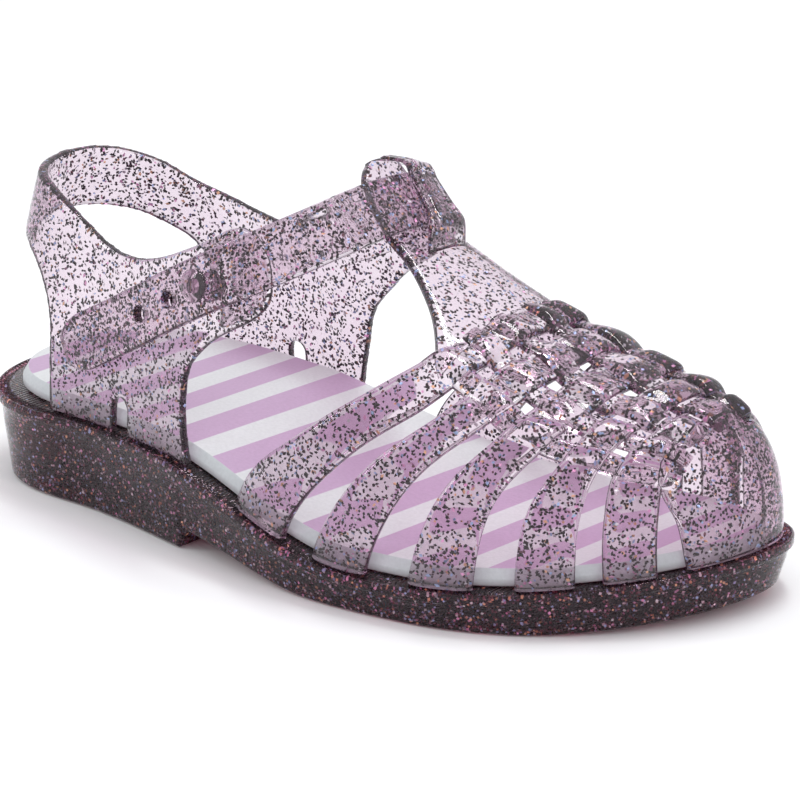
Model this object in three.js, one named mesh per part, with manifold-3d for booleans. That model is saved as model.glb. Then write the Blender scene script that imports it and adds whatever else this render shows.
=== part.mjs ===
// A child's right jelly sandal: clear PVC outsole, foam insole, woven toe piece with a T-bar,
// open quarters with a heel strap and ankle strap moulded on, and the stud that closes the strap.
// Millimetres. +X to the toe, +Y to the inner side of the foot, +Z up, floor at Z 0.
import * as THREE from "three";
import { mergeVertices } from "three/addons/utils/BufferGeometryUtils.js";
import Module from "manifold-3d";

const wasm = await Module();
wasm.setup();

// Outsole
const soleLength = 175.5;
const ballWidth = 77;
const heelHeight = 18.5;
const foreHeight = 8;
const toeRise = 4.3;
const toeSpring = 3.2;
const archLift = 4;
const sideDraft = 2.3;
const rimHeight = 2.2;
const rimStep = 0.7;
const treadDepth = 1.2;
const treadWidth = 2.4;
const treadPitch = 9;

// Upper
const footInset = 1.8;
const clearance = 0.3;
const wall = 2.3;
const instepHeight = 75;
const capThickness = 2.3;
const weaveRise = 1.1;
const strandWall = 1.8;
const barThickness = 2.2;
const quarterWall = 2.2;
const ankleHeight = 68;
const strapWidth = 11.6;
const strapThickness = 2;
const strapGap = 1.1;
const keeperWidth = 8.8;
const keeperThickness = 1.7;
const keeperRidge = 0.6;

// Insole
const insoleThickness = 3.4;
const insoleBevel = 1;

// Stud
const studHead = 6.6;
const studHeadThickness = 1.3;
const studShank = 3;
const studHoles = 3;
const studHolePitch = 8.5;

const deg = Math.PI / 180;

/** Value of one column of an evenly spaced table, on a smooth curve through its rows. */
function along(rows, key, share) {
  const last = rows.length - 1;
  const at = THREE.MathUtils.clamp(share, 0, 1) * last;
  const i = Math.min(Math.floor(at), last - 1);
  const f = at - i;
  const value = (k) => rows[THREE.MathUtils.clamp(k, 0, last)][key];
  const slope = (k) => {
    if (k <= 0) return value(1) - value(0);
    if (k >= last) return value(last) - value(last - 1);
    return (value(k + 1) - value(k - 1)) / 2;
  };
  const f2 = f * f;
  const f3 = f2 * f;
  return (2 * f3 - 3 * f2 + 1) * value(i) + (f3 - 2 * f2 + f) * slope(i)
    + (3 * f2 - 2 * f3) * value(i + 1) + (f3 - f2) * slope(i + 1);
}

/** Smooth step from 0 to 1 between two shares. */
function blend(share, from, to) {
  const f = THREE.MathUtils.clamp((share - from) / (to - from), 0, 1);
  return f * f * (3 - 2 * f);
}

// Half widths of the sole's rim from its middle line, as shares of the ball width, at even
// steps from heel to toe.
const rimTable = [
  { outer: 0.384, inner: 0.344 },
  { outer: 0.352, inner: 0.401 },
  { outer: 0.433, inner: 0.374 },
  { outer: 0.516, inner: 0.424 },
  { outer: 0.521, inner: 0.426 },
  { outer: 0.482, inner: 0.406 },
];
// Round ends of the outline: length as a share of the sole, and how square the curve is.
const heelRound = { length: 0.165, square: 2.13 };
const toeRound = { length: 0.273, square: 2.04 };
// The middle line swings to the inner side from here on, by this share of the ball width.
const toeSwing = { from: 0.4, by: 0.225 };
// Shares of the length where the heel's height falls to the ball's and where the toe rises.
const drop = { from: 0.33, to: 0.66 };
const rise = 0.7;
// The underside: end of the heel block, crown of the arch, where the ball meets the floor,
// and where the toe lifts.
const under = { breast: 0.376, arch: 0.39, ball: 0.6, toe: 0.83 };

/** Rounds the ends of the outline off: 0 at heel and toe, 1 between. */
function endShape(share) {
  const h = Math.max(0, 1 - share / heelRound.length);
  const t = Math.max(0, 1 - (1 - share) / toeRound.length);
  const heel = Math.pow(Math.max(0, 1 - Math.pow(h, heelRound.square)), 1 / heelRound.square);
  const toe = Math.pow(Math.max(0, 1 - Math.pow(t, toeRound.square)), 1 / toeRound.square);
  return Math.min(heel, toe);
}

/** Height of the rim's top over the floor. */
function rimZ(share) {
  const f = Math.max(0, (share - rise) / (1 - rise));
  return heelHeight - (heelHeight - foreHeight) * blend(share, drop.from, drop.to) + toeRise * f * f;
}

/** Height of the underside over the floor. */
function underZ(share) {
  const lift = archLift * blend(share, under.breast, under.arch) * (1 - blend(share, under.arch, under.ball));
  const f = Math.max(0, (share - under.toe) / (1 - under.toe));
  return lift + toeSpring * Math.pow(f, 1.6);
}

/** Plan point of the outline drawn in by an inset. side is -1 outer, 1 inner. */
function edge(share, side, inset) {
  const x = inset + share * (soleLength - 2 * inset);
  const s = x / soleLength;
  const swing = toeSwing.by * ballWidth * Math.pow(Math.max(0, (s - toeSwing.from) / (1 - toeSwing.from)), 2);
  const half = along(rimTable, side < 0 ? "outer" : "inner", s) * ballWidth - inset;
  return { x, y: swing + side * half * endShape(share), share: s };
}

/** Shares from heel to toe, closer together at both round ends. */
function stations(count) {
  const list = [];
  for (let i = 0; i <= count; i += 1) list.push(0.5 - 0.5 * Math.cos(Math.PI * i / count));
  return list;
}

// The origin lies under the middle of the rim's box.
const rimPoints = stations(400).flatMap((s) => [edge(s, -1, 0), edge(s, 1, 0)]);
const middleX = soleLength / 2;
const middleY = (Math.min(...rimPoints.map((p) => p.y)) + Math.max(...rimPoints.map((p) => p.y))) / 2;
const point = (x, y, z) => new THREE.Vector3(x - middleX, y - middleY, z);

/** Indexed geometry of a list of triangles, with shared corners merged and empty faces dropped. */
function meshOf(triangles) {
  const raw = new THREE.BufferGeometry();
  const corners = triangles.flatMap((p) => [p.x, p.y, p.z]);
  raw.setAttribute("position", new THREE.Float32BufferAttribute(corners, 3));
  const merged = mergeVertices(raw, 1e-4);
  const index = [];
  const all = merged.index.array;
  for (let i = 0; i < all.length; i += 3) {
    const [a, b, c] = [all[i], all[i + 1], all[i + 2]];
    if (a !== b && b !== c && a !== c) index.push(a, b, c);
  }
  merged.setIndex(index);
  return merged;
}

function solid(geometry) {
  const bare = geometry.clone();
  bare.deleteAttribute("normal");
  bare.deleteAttribute("uv");
  const merged = mergeVertices(bare, 1e-4);
  return new wasm.Manifold(new wasm.Mesh({
    numProp: 3,
    vertProperties: new Float32Array(merged.attributes.position.array),
    triVerts: new Uint32Array(merged.index.array),
  }));
}

function geometryOf(manifold) {
  const mesh = manifold.getMesh();
  const geometry = new THREE.BufferGeometry();
  geometry.setAttribute("position", new THREE.Float32BufferAttribute(mesh.vertProperties, 3));
  geometry.setIndex(Array.from(mesh.triVerts));
  geometry.computeVertexNormals();
  return geometry;
}

/** Solid through closed sections of equal point count. Sections turn right-handed along the way. */
function loft(sections) {
  const n = sections[0].length;
  const triangles = [];
  for (let i = 0; i + 1 < sections.length; i += 1) {
    for (let j = 0; j < n; j += 1) {
      const k = (j + 1) % n;
      const [a, b] = [sections[i], sections[i + 1]];
      triangles.push(a[j], a[k], b[k], a[j], b[k], b[j]);
    }
  }
  const close = (ring, flip) => {
    const middle = ring.reduce((sum, p) => sum.add(p), new THREE.Vector3()).divideScalar(n);
    for (let j = 0; j < n; j += 1) {
      const k = (j + 1) % n;
      if (flip) triangles.push(middle, ring[j], ring[k]);
      else triangles.push(middle, ring[k], ring[j]);
    }
  };
  close(sections[0], false);
  close(sections[sections.length - 1], true);
  return outward(solid(meshOf(triangles)), triangles);
}

/** The solid with its faces out, whichever way round its sections ran. */
function outward(manifold, triangles) {
  if (manifold.volume() > 0) return manifold;
  const turned = [];
  for (let i = 0; i < triangles.length; i += 3) turned.push(triangles[i], triangles[i + 2], triangles[i + 1]);
  return solid(meshOf(turned));
}

/** Closed sheet: an outer and an inner layer of points, joined round their edges. */
function sheet(rows, columns, at) {
  const triangles = [];
  const quad = (a, b, c, d) => triangles.push(a, b, c, a, c, d);
  for (let i = 0; i < rows; i += 1) {
    for (let j = 0; j < columns; j += 1) {
      quad(at(i, j, 1), at(i, j + 1, 1), at(i + 1, j + 1, 1), at(i + 1, j, 1));
      quad(at(i, j, 0), at(i + 1, j, 0), at(i + 1, j + 1, 0), at(i, j + 1, 0));
    }
    quad(at(i, 0, 1), at(i + 1, 0, 1), at(i + 1, 0, 0), at(i, 0, 0));
    quad(at(i, columns, 1), at(i, columns, 0), at(i + 1, columns, 0), at(i + 1, columns, 1));
  }
  for (let j = 0; j < columns; j += 1) {
    quad(at(0, j, 1), at(0, j, 0), at(0, j + 1, 0), at(0, j + 1, 1));
    quad(at(rows, j, 1), at(rows, j + 1, 1), at(rows, j + 1, 0), at(rows, j, 0));
  }
  return outward(solid(meshOf(triangles)), triangles);
}

const joined = (solids) => solids.reduce((sum, one) => sum.add(one));

// The toe piece's surface. Its crest over the rim is a share of the instep height, at even steps
// from crestFrom to the toe, and each section is a squared arch from foot line to foot line.
const crestFrom = 0.45;
const crestTable = [
  { high: 0.99 }, { high: 0.83 }, { high: 0.72 }, { high: 0.676 }, { high: 0.628 }, { high: 0.571 },
  { high: 0.528 }, { high: 0.482 }, { high: 0.448 }, { high: 0.434 }, { high: 0.437 }, { high: 0.44 },
];
const toeFront = { length: 0.21, square: 2.5 };
const crestSwing = 0.16;
const archSquare = 2.5;

/** Point of the toe piece: share of the length, degrees round from the outer foot line, height off
    the outer face. */
function vampPoint(share, angle, out) {
  const a = edge(share, -1, footInset - out);
  const b = edge(share, 1, footInset - out);
  const half = (b.y - a.y) / 2;
  const top = (a.y + b.y) / 2 + crestSwing * half;
  const c = Math.cos(angle * deg);
  const s = Math.max(0, Math.sin(angle * deg));
  const reach = c > 0 ? top - a.y : b.y - top;
  const y = top - Math.sign(c) * reach * Math.pow(Math.abs(c), 2 / archSquare);
  const d = Math.min(1, (1 - share) / toeFront.length);
  const front = Math.pow(1 - Math.pow(1 - d, toeFront.square), 1 / toeFront.square);
  const crest = along(crestTable, "high", (share - crestFrom) / (1 - crestFrom)) * instepHeight;
  const z = rimZ(a.share) + clearance + (crest + out) * front * Math.pow(s, 2 / archSquare);
  return point(a.x, y, z);
}

/** Point over the instep: as above, but with its height square to the slope of the crest. */
function instepPoint(share, angle, out) {
  const small = 0.004;
  const slope = vampPoint(share + small, 90, 0).sub(vampPoint(share - small, 90, 0));
  const square = new THREE.Vector3(-slope.z, 0, slope.x).normalize();
  return vampPoint(share, angle, 0).addScaledVector(square, out);
}

// Cross straps from the heel end on. Each column holds the strap's rear or front edge as a share
// of the length, at even steps from its foot up to the crest.
const crossStraps = [
  { rear: [0.48, 0.583, 0.656, 0.693, 0.7], front: [0.558, 0.642, 0.707, 0.735, 0.738] },
  { rear: [0.602, 0.668, 0.727, 0.751, 0.754], front: [0.675, 0.722, 0.77, 0.796, 0.798] },
  { rear: [0.728, 0.757, 0.792, 0.81, 0.812], front: [0.801, 0.813, 0.838, 0.856, 0.859] },
  { rear: [0.841, 0.846, 0.861, 0.869, 0.873], front: [0.893, 0.892, 0.895, 0.905, 0.909] },
  { rear: [0.916, 0.912, 0.908, 0.917, 0.921], front: [0.953, 0.95, 0.946, 0.95, 0.952] },
].map((strap) => strap.rear.map((rear, i) => ({ rear, front: strap.front[i] })));
const capEdge = [0.973, 0.964, 0.941, 0.938, 0.938].map((rear) => ({ rear }));

// Strands of the weave. Each row holds the degrees of the edges between them, at even steps
// between the shares weaveFrom and weaveTo.
const weaveFrom = 0.695;
const weaveTo = 0.955;
const strandEdges = [
  { e0: 57, e1: 69, e2: 80.5, e3: 90, e4: 99, e5: 112 },
  { e0: 53.5, e1: 65, e2: 78, e3: 88, e4: 98.5, e5: 114 },
  { e0: 47, e1: 59.5, e2: 73, e3: 86, e4: 98, e5: 114 },
  { e0: 43, e1: 54, e2: 67, e3: 83, e4: 97, e5: 114 },
  { e0: 40, e1: 51, e2: 64, e3: 80, e4: 96, e5: 113 },
  { e0: 36, e1: 49, e2: 62, e3: 79, e4: 95, e5: 112 },
];
const strands = 5;
const strandGap = 2.4;
// The rows of small holes between the cross straps, where a strand goes from over to under.
const turns = [0.695, 0.745, 0.804, 0.865, 0.914, 0.955];
const crossSink = 0.3;
const crown = [0, 0.55, 0.55, 0];

const strandEdge = (j, share) => along(strandEdges, `e${j}`, (share - weaveFrom) / (weaveTo - weaveFrom));
/** How far a strip stands off the weave's face, over or under, by its way through a crossing. */
const waveOf = (over, f) => (over ? weaveRise : -crossSink) * Math.sin(Math.PI * f);

// Rows of the toe cap draw closer together towards the toe by this power.
const capFineness = 1.6;
// Rows of the bar draw closer together towards its end plate by this power.
const barFineness = 1.3;

/** Section of a strip: four points over the crown and two below. */
function stripSection(at, lift, thickness) {
  const across = [0, 0.22, 0.78, 1];
  const outer = across.map((v, k) => at(v, lift + crown[k]));
  return [...outer, at(1, -thickness), at(0, -thickness)];
}

function crossStrap(index) {
  const edges = crossStraps[index];
  const steps = 30;
  const middleOf = (half) => (along(edges, "rear", half) + along(edges, "front", half)) / 2;
  const sections = [];
  for (let i = 0; i <= steps; i += 1) {
    const angle = 180 * i / steps;
    const half = 1 - Math.abs(1 - angle / 90);
    const rear = along(edges, "rear", half);
    const front = along(edges, "front", half);
    const share = middleOf(half);
    let lift = 0;
    for (let j = 0; j < strands; j += 1) {
      const from = strandEdge(j, share);
      const to = strandEdge(j + 1, share);
      if (angle > from && angle < to) lift = waveOf((index + j) % 2 === 0, (angle - from) / (to - from));
    }
    sections.push(stripSection((v, out) => vampPoint(rear + (front - rear) * v, angle, out), lift, wall));
  }
  return loft(sections);
}

function strand(j) {
  const steps = 22;
  const sections = [];
  for (let i = 0; i <= steps; i += 1) {
    const share = weaveFrom + (weaveTo - weaveFrom) * i / steps;
    const from = strandEdge(j, share) + (j > 0 ? strandGap : 0);
    const to = strandEdge(j + 1, share) - (j < strands - 1 ? strandGap : 0);
    let lift = 0;
    for (let k = 0; k + 1 < turns.length; k += 1) {
      const f = (share - turns[k]) / (turns[k + 1] - turns[k]);
      if (f > 0 && f < 1) lift = waveOf((k + j) % 2 === 1, f);
    }
    sections.push(stripSection((v, out) => vampPoint(share, from + (to - from) * v, out), lift, strandWall));
  }
  return loft(sections);
}

function toeCap() {
  const rows = 8;
  const columns = 22;
  return sheet(rows, columns, (i, j, outer) => {
    const angle = 180 * j / columns;
    const rear = along(capEdge, "rear", 1 - Math.abs(1 - angle / 90));
    const f = i / rows;
    const share = 1 - (1 - rear) * Math.pow(1 - f, capFineness);
    return vampPoint(share, angle, outer ? 0 : -capThickness);
  });
}

// T-bar: degrees of its outer and inner edges at even steps from its end plate to the first
// cross strap. Its end is rounded over barRound.
const barFrom = 0.5;
const barTo = 0.705;
const barRound = 7;
const barBlunt = 1.6;
const barEdges = [
  { outer: 86.5, inner: 110 }, { outer: 85, inner: 110.5 }, { outer: 83.4, inner: 111 },
  { outer: 79, inner: 113 }, { outer: 71, inner: 117 }, { outer: 57, inner: 128 },
];

function bar() {
  const rows = 14;
  const columns = 5;
  return sheet(rows, columns, (i, j, outer) => {
    const f = Math.pow(i / rows, barFineness);
    const from = along(barEdges, "outer", f);
    const to = along(barEdges, "inner", f);
    const way = Math.min(1, (f * (barTo - barFrom) * soleLength + barBlunt) / barRound);
    const spread = (to - from) * Math.sqrt(1 - Math.pow(1 - way, 2));
    const angle = (from + to) / 2 + spread * (j / columns - 0.5);
    return instepPoint(barFrom + (barTo - barFrom) * f, angle, outer ? 0 : -barThickness);
  });
}

// Keeper: the band that bridges the ankle strap, from the end plate down to the bar. Its middle runs
// between two angles, and its radius across the crest is a share of the instep height. The table
// holds the heights of its faces, as shares of the room that the strap needs, and its ridges.
const keeperFrom = 0.4985;
const keeperTo = 0.596;
const keeperMiddle = { from: 104, to: 95 };
const keeperRadius = 0.47;
const strapRoom = strapGap + strapThickness + 2 * clearance;
const keeperRows = [
  { inner: -0.33, outer: -0.4 }, { inner: 1.03, outer: 1 }, { inner: 1.05, outer: 1.05 },
  { inner: 1.08, outer: 1.08 }, { inner: 1.08, outer: 1.08 }, { inner: 1.05, outer: 1.05 },
  { inner: 1, outer: 1 }, { inner: 0.4, outer: 0.75 }, { inner: -0.33, outer: -0.4 },
];
const ridges = [0, 1, 0.1, 0.1, 1, 0];

function keeper() {
  const rows = 16;
  const columns = ridges.length - 1;
  const degrees = keeperWidth / (instepHeight * keeperRadius) / deg;
  return sheet(rows, columns, (i, j, outer) => {
    const f = i / rows;
    const share = keeperFrom + (keeperTo - keeperFrom) * f;
    const angle = THREE.MathUtils.lerp(keeperMiddle.from, keeperMiddle.to, f) + degrees * (j / columns - 0.5);
    const room = along(keeperRows, "inner", f) * strapRoom;
    const top = along(keeperRows, "outer", f) * strapRoom + keeperThickness;
    return instepPoint(share, angle, outer ? top + keeperRidge * ridges[j] : room);
  });
}

// The quarters' surface: the sole's outline carried up and leant in over the heel. It runs from the
// heel to quarterReach, and up to quarterTop of the ankle height before it is cut to its edges.
const lean = { back: 0.19, side: 0.27, height: 50, power: 1.5 };
const heelMiddle = 0.273;
const quarterReach = 0.53;
const quarterTop = 1.04;
// The tabs at the instep turn in further, between these shares of the length and the ankle height.
const tabTurn = { by: 0.22, fromX: 0.42, toX: 0.535, fromZ: 0.65, toZ: 0.97 };

function quarterPoint(share, side, z, out) {
  const e = edge(share, side, footInset - out);
  const f = Math.pow(Math.max(0, z - rimZ(e.share)) / lean.height, lean.power);
  const middle = heelMiddle * soleLength;
  const x = e.x < middle ? middle + (e.x - middle) * (1 - lean.back * f) : e.x;
  const turn = tabTurn.by * blend(x / soleLength, tabTurn.fromX, tabTurn.toX)
    * blend(z / ankleHeight, tabTurn.fromZ, tabTurn.toZ);
  return point(x, e.y * (1 - lean.side * f) * (1 - turn), z);
}

// Side view of each quarter: distance from the heel as a share of the length, height as a share
// of the ankle height. The inner quarter stands further forward and its heel strap dips sooner.
const quarterEdges = [
  {
    side: -1,
    front: [
      [0.397, 0.15], [0.3965, 0.25], [0.387, 0.353], [0.382, 0.456], [0.386, 0.54], [0.401, 0.593],
      [0.422, 0.643], [0.446, 0.683], [0.471, 0.72], [0.487, 0.756], [0.492, 0.795], [0.487, 0.85],
      [0.475, 0.91], [0.459, 0.956], [0.441, 0.973],
    ],
    top: [
      [0.422, 0.958], [0.393, 0.912], [0.359, 0.868], [0.325, 0.829], [0.291, 0.803], [0.256, 0.796],
      [0.222, 0.815], [0.188, 0.857], [0.154, 0.901], [0.114, 0.935], [0.057, 0.953], [-0.03, 0.956],
    ],
    back: [
      [0.154, 0.15], [0.153, 0.28], [0.149, 0.5], [0.147, 0.545], [0.136, 0.628], [0.111, 0.706],
      [0.068, 0.755], [0.02, 0.775], [-0.03, 0.78],
    ],
    arch: { at: 0.271, top: 26 },
  },
  {
    side: 1,
    front: [
      [0.379, 0.15], [0.379, 0.25], [0.387, 0.365], [0.394, 0.436], [0.399, 0.493], [0.409, 0.55],
      [0.43, 0.61], [0.458, 0.684], [0.493, 0.748], [0.512, 0.787], [0.5185, 0.83], [0.515, 0.885],
      [0.501, 0.95], [0.482, 0.99],
      [0.464, 0.998],
    ],
    top: [
      [0.424, 0.956], [0.397, 0.902], [0.364, 0.838], [0.331, 0.79], [0.298, 0.76], [0.265, 0.751],
      [0.232, 0.762], [0.203, 0.782], [0.149, 0.824], [0.107, 0.895], [0.06, 0.95], [0.01, 0.956],
      [-0.03, 0.956],
    ],
    back: [
      [0.154, 0.15], [0.153, 0.28], [0.15, 0.5], [0.147, 0.56], [0.135, 0.627], [0.108, 0.68],
      [0.073, 0.733], [0.02, 0.773], [-0.03, 0.78],
    ],
    arch: { at: 0.277, top: 24.8 },
  },
];
// A small arched opening at the foot of each quarter's middle has this radius.
const archRadius = 2.3;

/** A slab over one side of the shoe with this outline in side view. */
function sideSlab(outline, side) {
  const shape = new THREE.Shape(outline);
  const slab = new THREE.ExtrudeGeometry(shape, { depth: ballWidth, bevelEnabled: false });
  slab.rotateX(Math.PI / 2);
  slab.translate(0, (side < 0 ? 0 : ballWidth) - middleY, 0);
  return solid(slab);
}

const sidePoint = ([place, high]) => new THREE.Vector2(place * soleLength - middleX, high * ankleHeight);
const smooth = (rows, count) => new THREE.SplineCurve(rows.map(sidePoint)).getPoints(count);

function quarters() {
  const round = 20;
  const rows = 7;
  const foot = [];
  const footShare = (i) => quarterReach * (1 - Math.cos(Math.PI / 2 * i / round));
  for (let i = round; i >= 0; i -= 1) foot.push([footShare(i), -1]);
  for (let i = 1; i <= round; i += 1) foot.push([footShare(i), 1]);
  const shell = sheet(foot.length - 1, rows, (i, j, outer) => {
    const [share, side] = foot[i];
    const base = rimZ(share) + clearance;
    const z = base + (quarterTop * ankleHeight - base) * j / rows;
    return quarterPoint(share, side, z, outer ? 0 : -quarterWall);
  });
  const corner = (x, z) => new THREE.Vector2(x - middleX, z);
  const behind = -ballWidth / 4;
  const quarterOutline = ({ front, top }) => [
    corner(behind, 0), corner(front[0][0] * soleLength, 0), ...smooth(front, 30),
    ...smooth(top, 22), corner(behind, top.at(-1)[1] * ankleHeight),
  ];
  const heelOpening = ({ back }) => [
    corner(behind, 0), corner(back[0][0] * soleLength, 0), ...smooth(back, 16),
    corner(behind, back.at(-1)[1] * ankleHeight),
  ];
  const archOpening = ({ arch }) => {
    const middle = arch.at * soleLength;
    const outline = [corner(middle - archRadius, 0), corner(middle + archRadius, 0)];
    const steps = 8;
    for (let i = 0; i <= steps; i += 1) {
      const a = Math.PI * i / steps;
      const height = arch.top - archRadius + archRadius * Math.sin(a);
      outline.push(corner(middle + archRadius * Math.cos(a), height));
    }
    return outline;
  };
  const bothSides = (shapeOf) => joined(quarterEdges.map((edges) => sideSlab(shapeOf(edges), edges.side)));
  return shell.intersect(bothSides(quarterOutline)).subtract(bothSides(heelOpening))
    .subtract(bothSides(archOpening));
}

// Ankle strap: stations on the outer quarter, over the instep, and down into the inner quarter.
// Quarter rows hold place and height as above, instep rows hold share and degrees.
const strapRoute = [
  { side: -1, at: [0.188, 0.485] }, { side: -1, at: [0.248, 0.57] }, { side: -1, at: [0.308, 0.658] },
  { side: -1, at: [0.365, 0.744] }, { side: -1, at: [0.422, 0.824] }, { side: -1, at: [0.47, 0.89] },
  { side: 0, at: [0.526, 67] }, { side: 0, at: [0.5335, 77] }, { side: 0, at: [0.537, 88] },
  { side: 0, at: [0.5375, 100] }, { side: 0, at: [0.531, 114] },
  { side: 1, at: [0.47, 0.885] }, { side: 1, at: [0.422, 0.815] }, { side: 1, at: [0.365, 0.75] },
];
const outerLift = 2 * clearance + strapThickness / 2;
const instepLift = strapGap + strapThickness / 2;
const innerLift = -quarterWall / 2 + 0.2;

/** Share of a quarter station whose point lies at this distance from the heel. */
function quarterAt(place, high, side, out) {
  let share = place;
  for (let i = 0; i < 12; i += 1) {
    const p = quarterPoint(share, side, high * ankleHeight, out);
    share += place - (p.x + middleX) / soleLength;
  }
  return quarterPoint(share, side, high * ankleHeight, out);
}

/** Point and outward direction of a row of the strap's route. */
function strapStation({ side, at }) {
  const small = 0.004;
  if (side === 0) {
    const place = (a, b) => instepPoint(at[0] + a, at[1] + b, instepLift);
    const alongShoe = place(small, 0).sub(place(-small, 0));
    const across = place(0, 1).sub(place(0, -1));
    return { centre: place(0, 0), out: alongShoe.cross(across).normalize() };
  }
  const lift = side < 0 ? outerLift : innerLift;
  const place = (a, b) => quarterAt(at[0] + a, at[1] + b, side, lift);
  const forward = place(small, 0).sub(place(-small, 0));
  const up = place(0, small * 3).sub(place(0, -small * 3));
  return { centre: place(0, 0), out: forward.cross(up).normalize().multiplyScalar(-side) };
}

const strapRows = strapRoute.map(strapStation).map(({ centre, out }) => ({
  x: centre.x, y: centre.y, z: centre.z, nx: out.x, ny: out.y, nz: out.z,
}));

/** Centre, direction, outward direction and width direction of the strap at a share of its route. */
function strapFrame(share) {
  const read = (keys, s) => new THREE.Vector3(...keys.map((k) => along(strapRows, k, s)));
  const centre = read(["x", "y", "z"], share);
  const step = 0.01;
  const way = read(["x", "y", "z"], share + step).sub(read(["x", "y", "z"], share - step)).normalize();
  const out = read(["nx", "ny", "nz"], share);
  out.addScaledVector(way, -out.dot(way)).normalize();
  return { centre, way, out, across: new THREE.Vector3().crossVectors(out, way) };
}

// The strap's end: how far its rounding runs, how blunt it starts, and the bevel of its edges.
const strapTip = { length: 7, blunt: 1, edge: 0.4 };
const strapLength = strapRows.slice(1).reduce((sum, row, i) => {
  const before = strapRows[i];
  return sum + Math.hypot(row.x - before.x, row.y - before.y, row.z - before.z);
}, 0);

function ankleStrap() {
  const steps = 40;
  const sections = [];
  for (let i = 0; i <= steps; i += 1) {
    const share = i / steps;
    const f = strapFrame(share);
    const way = Math.min(1, (share * strapLength + strapTip.blunt) / strapTip.length);
    const half = strapWidth / 2 * Math.sqrt(1 - Math.pow(1 - way, 2));
    const up = strapThickness / 2;
    const at = (v, out) => f.centre.clone().addScaledVector(f.across, v * half).addScaledVector(f.out, out);
    const flat = 1 - strapTip.edge / half;
    const side = up - strapTip.edge;
    sections.push([at(-1, side), at(-flat, up), at(flat, up), at(1, side), at(1, -up), at(-1, -up)]);
  }
  return loft(sections);
}

/** Turned piece on the strap: radius and height rows along its outward direction. */
function turnedAt(frame, rows) {
  const profile = rows.map(([radius, high]) => new THREE.Vector2(radius, high));
  const basis = new THREE.Matrix4().makeBasis(frame.way, frame.out, frame.across.clone().negate());
  basis.setPosition(frame.centre);
  return solid(new THREE.LatheGeometry(profile, 20).applyMatrix4(basis));
}

// The stud's place, as a share of the strap's route, and the shares of its head's radius and
// thickness where the head rounds over and where its back flange tapers.
const studPlace = 0.28;
const studRound = { radius: 0.7, from: 0.5, crown: 1.15 };
const studFlange = { radius: 0.9, foot: 0.8 };

/** Hole through the strap and, for the stud, the quarter under it. */
function studHole(index) {
  const radius = studShank / 2 + clearance;
  const deep = index === 0 ? strapThickness + 3 * quarterWall : strapThickness;
  const frame = strapFrame(studPlace - index * studHolePitch / strapLength);
  return turnedAt(frame, [[0, -deep], [radius, -deep], [radius, strapThickness], [0, strapThickness]]);
}

function stud() {
  const face = strapThickness / 2 + clearance;
  const back = -outerLift - quarterWall - clearance;
  const flange = back - studHeadThickness;
  const shank = studShank / 2;
  const head = studHead / 2;
  return turnedAt(strapFrame(studPlace), [
    [0, flange], [studFlange.foot * head, flange], [studFlange.radius * head, back], [shank, back],
    [shank, face], [head, face], [head, face + studRound.from * studHeadThickness],
    [studRound.radius * head, face + studHeadThickness], [0, face + studRound.crown * studHeadThickness],
  ]);
}

/** Stations of the sole, with the heel breast's two edges among them. */
const soleStations = [...stations(38), under.breast, under.arch].sort((a, b) => a - b);

/** Closed ring of the outline drawn in by an inset: out along the outer side, back along the inner.
    Heights come from the point's share of the sole's length, or from its station. */
function outlineRing(inset, heightOf) {
  const at = (s, side) => {
    const e = edge(s, side, inset);
    return point(e.x, e.y, heightOf(e.share, s));
  };
  const n = soleStations.length - 1;
  const outer = soleStations.map((s) => at(s, -1));
  const inner = soleStations.slice(1, n).reverse().map((s) => at(s, 1));
  return [...outer, ...inner];
}

/** Solid through stacked outline rings, closed below and above from side to side. */
function stack(rings) {
  const n = soleStations.length - 1;
  const count = 2 * n;
  const triangles = [];
  for (let i = 0; i + 1 < rings.length; i += 1) {
    for (let j = 0; j < count; j += 1) {
      const k = (j + 1) % count;
      triangles.push(rings[i][j], rings[i][k], rings[i + 1][k]);
      triangles.push(rings[i][j], rings[i + 1][k], rings[i + 1][j]);
    }
  }
  const other = (j) => (count - j) % count;
  const cover = (ring, up) => {
    for (let j = 0; j < n; j += 1) {
      const quad = [ring[j], ring[j + 1], ring[other(j + 1)], ring[other(j)]];
      const [a, b, c, d] = up ? quad : quad.reverse();
      triangles.push(a, b, c, a, c, d);
    }
  };
  cover(rings[0], false);
  cover(rings[rings.length - 1], true);
  return outward(solid(meshOf(triangles)), triangles);
}

function outsole() {
  const chamfer = 0.8;
  const lip = 0.4;
  const body = stack([
    outlineRing(sideDraft + chamfer, (share, station) => underZ(station)),
    outlineRing(sideDraft, (share, station) => underZ(station) + chamfer),
    outlineRing(rimStep, (s) => rimZ(s) - rimHeight),
    outlineRing(0, (s) => rimZ(s) - rimHeight + lip),
    outlineRing(0, (s) => rimZ(s) - lip),
    outlineRing(lip, rimZ),
  ]);
  return treadGrooves().reduce((sum, groove) => sum.subtract(groove), body);
}

// Shallow grooves across the ball and the heel, clear of the sole's edge.
const treadRuns = [{ from: 0.06, to: 0.34 }, { from: 0.63, to: 0.86 }];
const treadInset = 10;

function treadGrooves() {
  const grooves = [];
  for (const run of treadRuns) {
    const count = Math.floor((run.to - run.from) * soleLength / treadPitch);
    for (let i = 0; i <= count; i += 1) {
      const share = run.from + i * treadPitch / soleLength;
      const a = edge(share, -1, treadInset);
      const b = edge(share, 1, treadInset);
      const groove = new THREE.BoxGeometry(treadWidth, b.y - a.y, 2 * treadDepth);
      groove.translate(share * soleLength - middleX, (a.y + b.y) / 2 - middleY, underZ(share));
      grooves.push(solid(groove));
    }
  }
  return grooves;
}

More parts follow.
